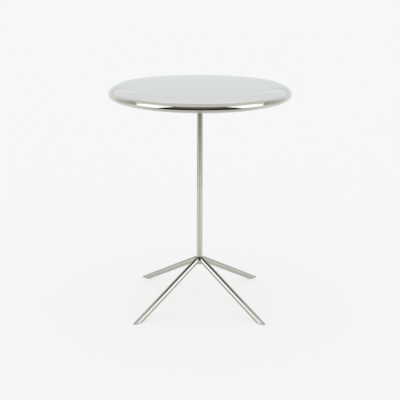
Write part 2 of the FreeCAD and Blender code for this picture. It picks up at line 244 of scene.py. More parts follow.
tubePolish = {
    "low": (0.588, 0.576, 0.516),
    "high": (0.630, 0.618, 0.556),
    "stretch": (1500.0, 1500.0, 9.0),
    "marks": (1.0, 3.0),
    "smudge": (24.0, 4.0),
    "broadShare": 0.65,
    "roughness": 0.05,
    "smudgeSpread": 0.04,
    "markSpread": 0.03,
    "depth": 0.0000015,
}


def makeTubeFinish(name, attribute=None):
    # drawn tube, polished lengthwise: marks change fast round the tube and slowly along it
    finish, place = newFinish(name)
    along = place
    if attribute:
        along = place.node("ShaderNodeAttribute", {"attribute_name": attribute}, output="Vector")
    marks = noise(along.scaled(tubePolish["stretch"]), *tubePolish["marks"])
    smudge = noise(place, *tubePolish["smudge"])
    roughness = tubePolish["roughness"] + swing(smudge, tubePolish["smudgeSpread"])
    endFinish(place, {
        "Base Color": blotches(smudge, marks, tubePolish),
        "Roughness": roughness + swing(marks, tubePolish["markSpread"]),
        "Metallic": 1.0,
        "Normal": bump(marks, tubePolish["depth"]),
    })
    return finish


turnedSteel = {
    "low": (0.43, 0.42, 0.40),
    "high": (0.56, 0.55, 0.52),
    "rings": (2600.0, 3.0),
    "stain": (60.0, 4.0),
    "broadShare": 0.5,
    "roughness": 0.22,
    "ringSpread": 0.14,
    "stainSpread": 0.08,
    "depth": 0.00001,
    "strength": 0.6,
}


def makeTurnedFinish(name):
    # satin face straight from the lathe
    finish, place = newFinish(name)
    rings = ringMarks(axisDistance(place), *turnedSteel["rings"])
    stain = noise(place, *turnedSteel["stain"])
    roughness = turnedSteel["roughness"] + turnedSteel["ringSpread"] * rings
    endFinish(place, {
        "Base Color": blotches(stain, rings, turnedSteel),
        "Roughness": roughness + turnedSteel["stainSpread"] * stain,
        "Metallic": 1.0,
        "Normal": bump(rings, turnedSteel["depth"], turnedSteel["strength"]),
    })
    return finish


def makeGrainFinish(name, settings):
    # any plain stock with a mottled colour and a fine surface
    finish, place = newFinish(name)
    stretched = place.scaled(settings["stretch"])
    mottle = noise(stretched, *settings["mottle"])
    grain = noise(stretched, *settings["grain"])
    endFinish(place, {
        "Base Color": blotches(mottle, grain, settings),
        "Roughness": settings["roughness"] + swing(grain, settings["grainSpread"]),
        "Metallic": settings["metallic"],
        "Normal": bump(grain + settings["mottleHeight"] * mottle, settings["depth"]),
    })
    return finish


plainStock = {"stretch": (1.0, 1.0, 1.0), "broadShare": 0.6, "mottleHeight": 0.5}
zincStock = {
    **plainStock,
    "low": (0.47, 0.485, 0.50), "high": (0.61, 0.62, 0.625), "metallic": 1.0,
    "mottle": (420.0, 4.0), "grain": (2600.0, 3.0),
    "roughness": 0.30, "grainSpread": 0.16, "depth": 0.00002,
}
millStock = {
    **plainStock,
    "low": (0.30, 0.295, 0.285), "high": (0.47, 0.465, 0.455), "metallic": 1.0, "stretch": (1.0, 0.18, 1.0),
    "mottle": (90.0, 4.0), "grain": (900.0, 3.0),
    "roughness": 0.42, "grainSpread": 0.2, "depth": 0.00003,
}
rubberStock = {
    **plainStock,
    "low": (0.018, 0.018, 0.018), "high": (0.034, 0.034, 0.033), "metallic": 0.0,
    "mottle": (160.0, 4.0), "grain": (2400.0, 3.0),
    "roughness": 0.72, "grainSpread": 0.2, "depth": 0.00006,
}
feltStock = {
    **plainStock,
    "low": (0.022, 0.021, 0.02), "high": (0.055, 0.053, 0.05), "metallic": 0.0, "stretch": (1.0, 0.35, 1.0),
    "mottle": (130.0, 4.0), "grain": (1500.0, 3.0),
    "roughness": 0.9, "grainSpread": 0.15, "depth": 0.00025,
}
nylonStock = {
    **plainStock,
    "low": (0.255, 0.255, 0.238), "high": (0.335, 0.335, 0.315), "metallic": 0.0,
    "mottle": (220.0, 4.0), "grain": (3000.0, 3.0),
    "roughness": 0.52, "grainSpread": 0.16, "depth": 0.00004,
}

upperFinish = makeTopFinish("polishedTop", False)
lowerFinish = makeTopFinish("polishedBelly", True)
stemFinish = makeTubeFinish("polishedStem")
legFinish = makeTubeFinish("polishedLeg", "barPlace")
turnedFinish = makeTurnedFinish("turnedSteel")
zincFinish = makeGrainFinish("brightZinc", zincStock)
millFinish = makeGrainFinish("millSteel", millStock)
rubberFinish = makeGrainFinish("padRubber", rubberStock)
feltFinish = makeGrainFinish("dampingFelt", feltStock)
nylonFinish = makeGrainFinish("glideNylon", nylonStock)
print("finishes:", len(bpy.data.materials))


# Geometry Nodes: a tree with named sizes, and the piece that it grows

def newTree(name, sizes, onBase=False):
    tree = bpy.data.node_groups.new(name, "GeometryNodeTree")
    tree.interface.new_socket("Geometry", in_out="OUTPUT", socket_type="NodeSocketGeometry")
    if onBase:
        tree.interface.new_socket("Base", in_out="INPUT", socket_type="NodeSocketGeometry")
    for size in sizes:
        tree.interface.new_socket(size, in_out="INPUT", socket_type="NodeSocketFloat")
    tree.interface.new_socket("Material", in_out="INPUT", socket_type="NodeSocketMaterial")
    start = tree.nodes.new("NodeGroupInput")
    wires = {socket.name: Wire(tree, socket) for socket in start.outputs if socket.name}
    return tree, wires


def endTree(tree, geometry, material):
    # every tree ends in real geometry with its finish on it
    real = geometry.node("GeometryNodeRealizeInstances", None, {"Geometry": geometry})
    dressed = real.node("GeometryNodeSetMaterial", None, {"Geometry": real, "Material": material})
    last = tree.nodes.new("NodeGroupOutput")
    tree.links.new(dressed.socket, last.inputs[0])


def finalMesh(thing, name):
    mesh = bpy.data.meshes.new_from_object(thing.evaluated_get(bpy.context.evaluated_depsgraph_get()))
    mesh.name = name
    return mesh


def growPiece(name, tree, sizes, material, base=None):
    holder = bpy.data.objects.new(name + "Holder", base or bpy.data.meshes.new(name + "Holder"))
    scene.collection.objects.link(holder)
    modifier = holder.modifiers.new("grow", "NODES")
    modifier.node_group = tree
    inputs = [item for item in tree.interface.items_tree if item.in_out == "INPUT"]
    identifiers = {item.name: item.identifier for item in inputs}
    for size, value in sizes.items():
        modifier[identifiers[size]] = value
    modifier[identifiers["Material"]] = material
    mesh = finalMesh(holder, name)
    holder.modifiers.remove(modifier)
    bpy.data.objects.remove(holder)
    piece = bpy.data.objects.new(name, mesh)
    scene.collection.objects.link(piece)
    return piece


sharpTurn = 30    # degrees between two faces, above which their edge stays sharp
cornerSteps = 5   # steps of a small rounded corner
onAxis = 1e-7     # radius below which a ring of points is one point


def smoothByAngle(mesh, degrees=sharpTurn):
    mesh.polygons.foreach_set("use_smooth", [True] * len(mesh.polygons))
    mesh.set_sharp_from_angle(angle=math.radians(degrees))


def fixPiece(piece, slot, *nodes):
    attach(piece, "root")
    if nodes:
        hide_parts(*nodes)


# Turned and drawn round pieces: a half section spun about the stem's axis

def turnMesh(name, section, turns):
    work = bmesh.new()
    rings = []
    for radius, level in section:
        if radius < onAxis:
            rings.append([work.verts.new((0, 0, level))])
            continue
        ring = []
        for step in range(turns):
            angle = math.tau * step / turns
            ring.append(work.verts.new((radius * math.cos(angle), radius * math.sin(angle), level)))
        rings.append(ring)
    pairs = list(zip(rings, rings[1:]))
    if len(rings[0]) > 1:
        # a section with a bore closes on itself, and any other starts and ends on the axis
        pairs.append((rings[-1], rings[0]))
    for lower, upper in pairs:
        for step in range(turns):
            following = (step + 1) % turns
            corners = [lower[step % len(lower)], lower[following % len(lower)],
                       upper[following % len(upper)], upper[step % len(upper)]]
            unique = list(dict.fromkeys(corners))
            if len(unique) > 2:
                work.faces.new(unique)
    bmesh.ops.recalc_face_normals(work, faces=work.faces)
    mesh = bpy.data.meshes.new(name)
    work.to_mesh(mesh)
    work.free()
    smoothByAngle(mesh)
    return mesh


def roundCorner(corner, before, after, radius):
    # points of a small arc in place of a section's corner
    corner, before, after = Vector(corner), Vector(before), Vector(after)
    inward = (before - corner).normalized()
    onward = (after - corner).normalized()
    half = inward.angle(onward) / 2
    reach = radius / math.tan(half)
    centre = corner + (inward + onward).normalized() * (radius / math.sin(half))
    start = corner + inward * reach - centre
    end = corner + onward * reach - centre
    sweep = start.angle_signed(end)
    points = []
    for step in range(cornerSteps + 1):
        turned = Matrix.Rotation(-sweep * step / cornerSteps, 2) @ start
        points.append(tuple(centre + turned))
    return points


def addPiece(name, mesh, material):
    piece = bpy.data.objects.new(name, mesh)
    scene.collection.objects.link(piece)
    mesh.materials.append(material)
    return piece


# The hollow top: two spun shells that meet at the rim

topSizes = {
    "shoulderRadius": 0.035,
    "noseRadius": 0.0115,
    "bellyRadius": 0.080,
    "sheet": 0.0015,
    "flatShare": 0.08,    # share of the rings that lie on the flat face
    "rings": 110,
    "turns": 288,
    "mergeReach": 1e-6,
    "sharpTurn": 40,
}


def buildShellTree():
    # Flat face, then the edge arc and the nose arc.
    # The arcs follow the tilt of the surface, from 0 at the face to 90 degrees at the seam.
    tree, size = newTree("spunShell", ["Rim", "Face", "Depth", "Up", "Edge Radius", "Nose Radius"])
    rim, up = size["Rim"], size["Up"]
    edge, nose = size["Edge Radius"], size["Nose Radius"]
    grid = rim.node("GeometryNodeMeshGrid", None, {
        "Size X": 1.0, "Size Y": 1.0,
        "Vertices X": topSizes["turns"] + 1, "Vertices Y": topSizes["rings"] + 1})
    place = rim.node("GeometryNodeInputPosition")
    across = rim.node("ShaderNodeSeparateXYZ", None, {0: place})
    along = across.other("Y") + 0.5
    angle = (across + 0.5) * math.tau
    share = topSizes["flatShare"]
    tilt = (along - share).apply("MAXIMUM", 0.0) * (math.pi / 2 / (1 - share))
    turn = ((edge - size["Depth"]) / (edge - nose)).apply("ARCCOSINE")
    onNose = tilt > turn
    flatEnd = rim - nose - (edge - nose) * turn.apply("SINE")
    centreOut = flatEnd + (rim - nose - flatEnd) * onNose
    centreUp = (edge - size["Depth"]) * onNose - edge
    radius = edge + (nose - edge) * onNose
    flatPart = (along / share).apply("MINIMUM", 1.0)
    out = flatEnd * flatPart + (centreOut - flatEnd) + radius * tilt.apply("SINE")
    drop = centreUp + radius * tilt.apply("COSINE")
    spot = rim.node("ShaderNodeCombineXYZ", None, {
        0: out * angle.apply("COSINE"),
        1: out * angle.apply("SINE"),
        2: size["Face"] + drop * up})
    bent = grid.node("GeometryNodeSetPosition", None, {"Geometry": grid, "Position": spot})
    joined = bent.node("GeometryNodeMergeByDistance", None, {
        "Geometry": bent, "Distance": topSizes["mergeReach"]})
    endTree(tree, joined, size["Material"])
    return tree


def makeShell(name, tree, faceLevel, seamLevel, edgeRadius, material):
    piece = growPiece(name, tree, {
        "Rim": rimRadius,
        "Face": faceLevel,
        "Depth": abs(faceLevel - seamLevel),
        "Up": 1.0 if faceLevel > seamLevel else -1.0,
        "Edge Radius": edgeRadius,
        "Nose Radius": topSizes["noseRadius"],
    }, material)
    work = bmesh.new()
    work.from_mesh(piece.data)
    outward = max(work.faces, key=lambda face: face.calc_center_median().xy.length)
    if outward.normal.xy.dot(outward.calc_center_median().xy) < 0:
        bmesh.ops.reverse_faces(work, faces=work.faces)
    work.to_mesh(piece.data)
    work.free()
    wall = piece.modifiers.new("sheet", "SOLIDIFY")
    wall.thickness = topSizes["sheet"]
    wall.offset = -1.0
    thick = finalMesh(piece, name)
    piece.modifiers.remove(wall)
    piece.data = thick
    smoothByAngle(thick, topSizes["sharpTurn"])
    return piece


upperLow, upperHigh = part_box("top_upper_shell")
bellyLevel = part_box("top_lower_shell")[0].z
seamLevel = upperLow.z
rimRadius = upperHigh.x
shellTree = buildShellTree()
topUpper = makeShell("topUpper", shellTree, upperHigh.z, seamLevel, topSizes["shoulderRadius"], upperFinish)
topLower = makeShell("topLower", shellTree, bellyLevel, seamLevel, topSizes["bellyRadius"], lowerFinish)
fixPiece(topUpper, "polished_top", "top_upper_shell")
fixPiece(topLower, "polished_top", "top_lower_shell")
print("top:", len(topUpper.data.polygons) + len(topLower.data.polygons), "faces")


# The stem, its turned plug, and the legs

tubeSizes = {
    "hubHeight": 0.102,   # level where the legs' axes cross the stem
    "gap": 0.00005,       # clearance between a leg's cope and the stem, and round the plug
    "wall": 0.0015,
    "plugEdge": 0.0006,
    "turns": 96,
    "lengths": 40,
}

stemLow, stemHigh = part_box("stem_tube")
plugLow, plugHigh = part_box("stem_plug")
tubeRadius = stemHigh.x
boreRadius = tubeRadius - tubeSizes["wall"]
stemSection = [(boreRadius, stemLow.z), (tubeRadius, stemLow.z)]
stemSection += [(tubeRadius, stemHigh.z), (boreRadius, stemHigh.z)]
stem = addPiece("stem", turnMesh("stem", stemSection, tubeSizes["turns"]), stemFinish)
fixPiece(stem, "polished_tube", "stem_tube")

shankRadius = boreRadius - tubeSizes["gap"]
plugSection = [(0, plugLow.z)]
plugSection += roundCorner((tubeRadius, plugLow.z), (0, plugLow.z), (tubeRadius, stemLow.z),
                           tubeSizes["plugEdge"])
plugSection += [(tubeRadius, stemLow.z), (shankRadius, stemLow.z)]
plugSection += roundCorner((shankRadius, plugHigh.z), (shankRadius, stemLow.z), (0, plugHigh.z),
                           tubeSizes["plugEdge"])
plugSection += [(0, plugHigh.z)]
plug = addPiece("stemPlug", turnMesh("stemPlug", plugSection, tubeSizes["turns"]), stemFinish)
fixPiece(plug, "polished_tube", "stem_plug")

mountPlaces = {mount["name"]: Vector(mount["pos_m"]) for mount in frame["record"]["mounts"]}
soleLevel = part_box("leg_front_left")[0].z


def buildLegTree():
    # each line of a unit tube is laid from the stem and the mitre planes down to the floor cut
    sizes = ["Radius", "Stem Radius", "Hub Height", "Foot Reach", "Sole", "Turn"]
    tree, size = newTree("copedLeg", sizes, True)
    radius, hub, reach = size["Radius"], size["Hub Height"], size["Foot Reach"]
    place = radius.node("GeometryNodeInputPosition")
    across = radius.node("ShaderNodeSeparateXYZ", None, {0: place})
    sideways = across.other("Y") * radius
    crown = across * radius
    along = across.other("Z")
    run = (hub * hub + reach * reach).apply("SQRT")
    slopeSin, slopeCos = hub / run, reach / run
    inStem = (size["Stem Radius"] * size["Stem Radius"] - sideways * sideways).apply("MAXIMUM", 0.0)
    nearOut = inStem.apply("SQRT").apply("MAXIMUM", sideways.apply("ABSOLUTE"))
    near = (nearOut - crown * slopeSin) / slopeCos
    far = (hub + crown * slopeCos - size["Sole"]) / slopeSin
    length = near + (far - near) * along
    out = length * slopeCos + crown * slopeSin
    level = hub - length * slopeSin + crown * slopeCos
    turnCos, turnSin = size["Turn"].apply("COSINE"), size["Turn"].apply("SINE")
    spot = radius.node("ShaderNodeCombineXYZ", None, {
        0: out * turnCos - sideways * turnSin,
        1: out * turnSin + sideways * turnCos,
        2: level})
    barPlace = radius.node("ShaderNodeCombineXYZ", None, {0: crown, 1: sideways, 2: length})
    marked = radius.node("GeometryNodeStoreNamedAttribute", {"data_type": "FLOAT_VECTOR"}, {
        "Geometry": size["Base"], "Name": "barPlace", "Value": barPlace})
    bent = radius.node("GeometryNodeSetPosition", None, {"Geometry": marked, "Position": spot})
    endTree(tree, bent, size["Material"])
    return tree


def unitTube():
    steps = tubeSizes["lengths"]
    inner = boreRadius / tubeRadius
    section = [(1.0, step / steps) for step in range(steps + 1)]
    section += [(inner, 1 - step / steps) for step in range(steps + 1)]
    return turnMesh("unitTube", section, tubeSizes["turns"])


legTree = buildLegTree()
legs = []
for place in ("front_left", "front_right", "back_left", "back_right"):
    foot = mountPlaces["floor_" + place]
    leg = growPiece("leg." + place, legTree, {
        "Radius": tubeRadius,
        "Stem Radius": tubeRadius + tubeSizes["gap"],
        "Hub Height": tubeSizes["hubHeight"],
        "Foot Reach": foot.xy.length,
        "Sole": soleLevel,
        "Turn": math.atan2(foot.y, foot.x),
    }, legFinish, unitTube())
    smoothByAngle(leg.data)
    fixPiece(leg, "polished_tube", "leg_" + place)
    legs.append(leg)
print("stem and legs:", [len(leg.data.polygons) for leg in legs], "faces")


# The polished weld: a fillet round the stem over the legs, and a short bead down each crotch

weldSizes = {
    "top": 0.1055,        # level where the fillet leaves the stem
    "fillet": 0.0068,
    "filletSteps": 8,
    "bulge": 0.0001,
    "depth": 0.0014,      # how far the ring goes down under its edge
    "inset": 0.0006,      # how far its underside stays inside its edge
    "bead": 0.0030,
    "beadLow": 0.0950,
    "beadCount": 4,
    "tailThinning": 0.6,  # share of its thickness that a bead loses at its lower end
    "tailPower": 6.0,
    "ripple": 0.00006,
    "ripples": 44.0,      # radians of ripple along a bead
    "turns": 24,
    "steps": 40,
}


def buildWeldTree():
    # the turned fillet, joined by one rippled bead in every crotch
    tree, size = newTree("hubWeld", ["Bead", "Reach", "Low", "High", "Ripple"], True)
    bead, reach = size["Bead"], size["Reach"]
    start = bead.node("ShaderNodeCombineXYZ", None, {0: reach, 2: size["High"]})
    end = bead.node("ShaderNodeCombineXYZ", None, {0: reach, 2: size["Low"]})
    path = bead.node("GeometryNodeCurvePrimitiveLine", None, {"Start": start, "End": end})
    path = path.node("GeometryNodeResampleCurve", None, {"Curve": path, "Count": weldSizes["steps"]})
    along = bead.node("GeometryNodeSplineParameter")
    tail = along.apply("POWER", weldSizes["tailPower"]) * weldSizes["tailThinning"]
    thick = bead * (1.0 - tail) + size["Ripple"] * (along * weldSizes["ripples"]).apply("SINE")
    outline = bead.node("GeometryNodeCurvePrimitiveCircle", None, {
        "Resolution": weldSizes["turns"], "Radius": 1.0})
    run = bead.node("GeometryNodeCurveToMesh", None, {
        "Curve": path, "Profile Curve": outline, "Scale": thick, "Fill Caps": True})
    spots = bead.node("GeometryNodeMeshLine", None, {
        "Count": weldSizes["beadCount"], "Offset": (0.0, 0.0, 0.0)})
    angle = bead.node("GeometryNodeInputIndex") * (math.tau / weldSizes["beadCount"])
    twist = bead.node("ShaderNodeCombineXYZ", None, {2: angle})
    runs = bead.node("GeometryNodeInstanceOnPoints", None, {
        "Points": spots, "Instance": run, "Rotation": twist})
    joint = tree.nodes.new("GeometryNodeJoinGeometry")
    tree.links.new(size["Base"].socket, joint.inputs[0])
    tree.links.new(runs.socket, joint.inputs[0])
    endTree(tree, Wire(tree, joint.outputs[0]), size["Material"])
    return tree


weldOuter = tubeRadius + weldSizes["fillet"]
weldEdge = weldSizes["top"] - weldSizes["fillet"]
weldFoot = weldEdge - weldSizes["depth"]
weldSection = [(boreRadius, weldFoot), (weldOuter - weldSizes["inset"], weldFoot)]
for step in range(weldSizes["filletSteps"] + 1):
    part = step / weldSizes["filletSteps"]
    rise = weldSizes["fillet"] * part
    swell = weldSizes["bulge"] * 4 * part * (1 - part)
    weldSection.append((weldOuter - rise + swell, weldEdge + rise + swell))
weldSection.append((boreRadius, weldSizes["top"]))
weld = growPiece("hubWeld", buildWeldTree(), {
    "Bead": weldSizes["bead"],
    "Reach": weldOuter - weldSizes["bead"],
    "Low": weldSizes["beadLow"],
    "High": weldEdge,
    "Ripple": weldSizes["ripple"],
}, stemFinish, turnMesh("weldRing", weldSection, tubeSizes["turns"]))
smoothByAngle(weld.data)
fixPiece(weld, "polished_tube")
print("weld:", len(weld.data.polygons), "faces")


# The flange under the top, its screws and their split washers

flangeSizes = {
    "bore": 0.00655,
    "neckRadius": 0.00955,
    "plateLevel": 0.4575,
    "edge": 0.001,
    "fillet": 0.0012,
    "holeRadius": 0.0033,
    "holeTurns": 48,
    "drillLength": 0.02,
    "turns": 128,
}
screwSizes = {
    "circle": 0.031,
    "seatLevel": 0.4559,
    "headRadius": 0.00525,
    "headEdge": 0.0009,
    "headFlat": 0.0029,
    "domeSteps": 8,
    "shankRadius": 0.003,
    "point": 0.0006,
    "socketWidth": 0.004,
    "socketDepth": 0.002,
    "socketSides": 6,
    "count": 4,
    "seed": 7,
    "turns": 48,
}
washerSizes = {
    "outer": 0.0059,
    "inner": 0.0033,
    "split": 0.001,
    "lift": 0.00004,      # keeps the ring clear of its seats
    "seed": 3,
    "turns": 56,
}


def screwPlaces(circle):
    return circle.node("GeometryNodeMeshCircle", None, {"Vertices": screwSizes["count"], "Radius": circle})


def setOnPlaces(thing, circle, mostTurn, seed):
    # a copy on every place of the screw circle, each turned by a chance angle
    limits = {2: 0.0, 3: mostTurn, "Seed": seed}
    angle = circle.node("FunctionNodeRandomValue", {"data_type": "FLOAT"}, limits, 1)
    twist = circle.node("ShaderNodeCombineXYZ", None, {2: angle})
    return circle.node("GeometryNodeInstanceOnPoints", None, {
        "Points": screwPlaces(circle), "Instance": thing, "Rotation": twist})


def lifted(geometry, level):
    lift = geometry.node("ShaderNodeCombineXYZ", None, {2: level})
    return geometry.node("GeometryNodeTransform", None, {"Geometry": geometry, "Translation": lift})


def cutOut(solid, tool):
    return solid.node("GeometryNodeMeshBoolean", {"operation": "DIFFERENCE", "solver": "EXACT"}, {
        "Mesh 1": solid, "Mesh 2": tool})


def buildFlangeTree():
    # the turned flange, drilled on the screw circle
    tree, size = newTree("drilledFlange", ["Hole Radius", "Circle", "Level", "Height"], True)
    circle = size["Circle"]
    drill = circle.node("GeometryNodeMeshCylinder", None, {
        "Vertices": flangeSizes["holeTurns"], "Radius": size["Hole Radius"], "Depth": size["Height"]})
    drills = circle.node("GeometryNodeInstanceOnPoints", None, {
        "Points": screwPlaces(circle), "Instance": drill})
    drills = circle.node("GeometryNodeRealizeInstances", None, {"Geometry": drills})
    endTree(tree, cutOut(size["Base"], lifted(drills, size["Level"])), size["Material"])
    return tree


def buildScrewTree():
    # one turned screw gets its hexagon socket, then stands on every place of the screw circle
    sizes = ["Circle", "Level", "Head Height", "Socket Width", "Socket Depth"]
    tree, size = newTree("flangeScrews", sizes, True)
    circle = size["Circle"]
    punch = circle.node("GeometryNodeMeshCylinder", None, {
        "Vertices": screwSizes["socketSides"],
        "Radius": size["Socket Width"] / math.sqrt(3),
        "Depth": size["Socket Depth"] * 2})
    screw = cutOut(size["Base"], lifted(punch, 0.0 - size["Head Height"]))
    screws = setOnPlaces(screw, circle, math.tau / screwSizes["socketSides"], screwSizes["seed"])
    endTree(tree, lifted(screws, size["Level"]), size["Material"])
    return tree


def buildWasherTree():
    # a split ring of square wire on every place of the screw circle
    tree, size = newTree("splitWashers", ["Circle", "Level", "Outer", "Inner", "Height", "Split"])
    circle, outer, inner = size["Circle"], size["Outer"], size["Inner"]
    middle = (outer + inner) * 0.5
    gap = size["Split"] / middle
    path = circle.node("GeometryNodeCurveArc", {"mode": "RADIUS"}, {
        "Resolution": washerSizes["turns"], "Radius": middle,
        "Start Angle": gap * 0.5, "Sweep Angle": math.tau - gap})
    wire = circle.node("GeometryNodeCurvePrimitiveQuadrilateral", None, {
        "Width": outer - inner, "Height": size["Height"]})
    ring = circle.node("GeometryNodeCurveToMesh", None, {
        "Curve": path, "Profile Curve": wire, "Fill Caps": True})
    rings = setOnPlaces(ring, circle, math.tau, washerSizes["seed"])
    endTree(tree, lifted(rings, size["Level"]), size["Material"])
    return tree


flangeLow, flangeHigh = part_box("stem_flange")
screwLow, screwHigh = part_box("flange_screws")
washerLow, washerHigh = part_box("lock_washers")

plateLevel = flangeSizes["plateLevel"]
rimTop, rimFoot = (flangeHigh.x, flangeHigh.z), (flangeHigh.x, plateLevel)
neckTop, neckFoot = (flangeSizes["neckRadius"], plateLevel), (flangeSizes["neckRadius"], flangeLow.z)
flangeSection = [(flangeSizes["bore"], flangeHigh.z), rimTop]
flangeSection += roundCorner(rimFoot, rimTop, neckTop, flangeSizes["edge"])
flangeSection += roundCorner(neckTop, rimFoot, neckFoot, flangeSizes["fillet"])
flangeSection += roundCorner(neckFoot, neckTop, (0, flangeLow.z), flangeSizes["edge"])
flangeSection += [(flangeSizes["bore"], flangeLow.z)]
flange = growPiece("stemFlange", buildFlangeTree(), {
    "Hole Radius": flangeSizes["holeRadius"],
    "Circle": screwSizes["circle"],
    "Level": (plateLevel + flangeHigh.z) / 2,
    "Height": flangeSizes["drillLength"],
}, turnedFinish, turnMesh("flangeBlank", flangeSection, flangeSizes["turns"]))
smoothByAngle(flange.data)
fixPiece(flange, "turned_steel", "stem_flange")

headHeight = screwSizes["seatLevel"] - screwLow.z
shankTop = screwHigh.z - screwSizes["seatLevel"]
headRadius, headFlat = screwSizes["headRadius"], screwSizes["headFlat"]
domeRise = headHeight - screwSizes["headEdge"]
screwSection = [(0, -headHeight), (headFlat, -headHeight)]
for step in range(1, screwSizes["domeSteps"] + 1):
    lean = math.pi / 2 * step / screwSizes["domeSteps"]
    screwSection.append((headFlat + (headRadius - headFlat) * math.sin(lean),
                         -screwSizes["headEdge"] - domeRise * math.cos(lean)))
screwSection += [(headRadius, 0), (screwSizes["shankRadius"], 0),
                 (screwSizes["shankRadius"], shankTop - screwSizes["point"]),
                 (screwSizes["shankRadius"] - screwSizes["point"], shankTop), (0, shankTop)]
screws = growPiece("flangeScrews", buildScrewTree(), {
    "Circle": screwSizes["circle"],
    "Level": screwSizes["seatLevel"],
    "Head Height": headHeight,
    "Socket Width": screwSizes["socketWidth"],
    "Socket Depth": screwSizes["socketDepth"],
}, zincFinish, turnMesh("screwBlank", screwSection, screwSizes["turns"]))
smoothByAngle(screws.data)
fixPiece(screws, "zinc_fastener", "flange_screws")

washers = growPiece("splitWashers", buildWasherTree(), {
    "Circle": screwSizes["circle"],
    "Level": (washerLow.z + washerHigh.z) / 2,
    "Outer": washerSizes["outer"],
    "Inner": washerSizes["inner"],
    "Height": washerHigh.z - washerLow.z - 2 * washerSizes["lift"],
    "Split": washerSizes["split"],
}, zincFinish)
smoothByAngle(washers.data)
fixPiece(washers, "zinc_fastener", "lock_washers")
fixing = (flange, screws, washers)
print("flange, screws and washers:", [len(piece.data.polygons) for piece in fixing], "faces")


# Solids that stay as they are and only get their finish

keptFinishes = {
    "seam_ring": millFinish,
    "backing_plate": millFinish,
    "weld_nuts": millFinish,
    "damping_pad": feltFinish,
    "flange_pad": rubberFinish,
    "glide_front_left": nylonFinish,
    "glide_front_right": nylonFinish,
    "glide_back_left": nylonFinish,
    "glide_back_right": nylonFinish,
}
for node, finish in keptFinishes.items():
    kept = frame["nodes"][node]
    kept.data.materials.clear()
    kept.data.materials.append(finish)
print("kept solids:", len(keptFinishes))


# Studio: a pale floor, even light all round, and cards that only the polish shows, which are painted
# highlights and painted shade that light nothing

studio = {
    "floorSize": 160.0,
    "floorColour": (0.93, 0.93, 0.93),
    "floorGlow": 0.72,              # share of the floor's own light, which softens the shadow
    "surround": (1.0, 1.0, 1.0),    # lights the object, while its polish shows the tones below
    "frontTone": (0.82, 0.82, 0.79),
    "backTone": (0.85, 0.885, 0.92),
    "lowTone": (0.90, 0.935, 0.96),
    "sideTone": (0.93, 0.945, 1.0),
    "backTurn": (-1 / 3, 1 / 3),    # parts of a direction, between which one tone turns into the next
    "lowTurn": (0.119, 0.1123),
    "sideTurn": (0.25, 0.5833),
    "whiteTone": (1.0, 1.015, 1.12),
    "ringSteps": 96,
}


def seenRays(start):
    # 1 for rays from the camera, a mirror or glass, and 0 for those that gather light
    path = start.node("ShaderNodeLightPath", output="Is Camera Ray")
    return (path + path.other("Is Glossy Ray") + path.other("Is Transmission Ray")).apply("MINIMUM", 1.0)


def clearBehind(shown):
    # nothing shows from the back of the face
    back = shown.node("ShaderNodeNewGeometry", output="Backfacing")
    clear = shown.node("ShaderNodeBsdfTransparent")
    return shown.node("ShaderNodeMixShader", None, {0: back, 1: shown, 2: clear})


def alongAxis(start, axis, low, high):
    place = start.node("ShaderNodeTexCoord", output="Object")
    return place.node("ShaderNodeSeparateXYZ", None, {0: place}, axis).between(low, high)


def lightTone(name, card):
    # One colour, or stops that fade into each other along an axis.
    # Where the card says so, it is clear from behind, or melts away along an axis.
    tone, start = newMaterial(name)
    if "fade" in card:
        share = alongAxis(start, *card["fade"])
        colour = start.node("ShaderNodeValToRGB", {"stops": card["stops"]}, {0: share})
    else:
        colour = opaque(card["colour"])
    shown = start.node("ShaderNodeEmission", None, {"Color": colour, "Strength": card.get("strength", 1.0)})
    if card.get("oneSided"):
        shown = clearBehind(shown)
    if "melt" in card:
        share = alongAxis(start, *card["melt"])
        clear = start.node("ShaderNodeBsdfTransparent")
        shown = start.node("ShaderNodeMixShader", None, {0: share, 1: shown, 2: clear})
    start.node("ShaderNodeOutputMaterial", None, {"Surface": shown})
    return tone


def addCard(name, corners, tone, faces=None):
    # a studio card, a painted reflection that lights nothing and shows in polished surfaces alone, unless it
    # is opened to the camera afterwards
    mesh = bpy.data.meshes.new(name)
    mesh.from_pydata(corners, [], faces or [tuple(range(len(corners)))])
    card = addPiece(name, mesh, tone)
    card.visible_camera = False
    card.visible_diffuse = False
    card.visible_transmission = False
    card.visible_shadow = False
    return card


def addBand(name, near, far, tone):
    # a strip of faces between two rows of points
    count = len(near)
    faces = [(step, step + 1, count + step + 1, count + step) for step in range(count - 1)]
    return addCard(name, near + far, tone, faces)


def spread(low, high, steps):
    # evenly spaced angles from one to another, given in degrees
    return [math.radians(low + (high - low) * step / steps) for step in range(steps + 1)]


def ringPoints(radius, level, angles):
    # points round the stem's axis, by their angles from the front
    return [(radius * math.sin(angle), -radius * math.cos(angle), level) for angle in angles]


def mirrored(points):
    return [(-x, y, z) for x, y, z in reversed(points)]


reach = studio["floorSize"] / 2
floorCorners = [(-reach, -reach, 0), (reach, -reach, 0), (reach, reach, 0), (-reach, reach, 0)]
floorMesh = bpy.data.meshes.new("floor")
floorMesh.from_pydata(floorCorners, [], [(0, 1, 2, 3)])
floorTone, start = newMaterial("paleFloor")
matt = start.node("ShaderNodeBsdfDiffuse", None, {"Color": opaque(studio["floorColour"])})
glow = start.node("ShaderNodeEmission", None, {"Color": opaque(studio["floorColour"])})
mixed = start.node("ShaderNodeMixShader", None, {0: seenRays(start) * studio["floorGlow"], 1: matt, 2: glow})
start.node("ShaderNodeOutputMaterial", None, {"Surface": clearBehind(mixed)})
floor = addPiece("floor", floorMesh, floorTone)

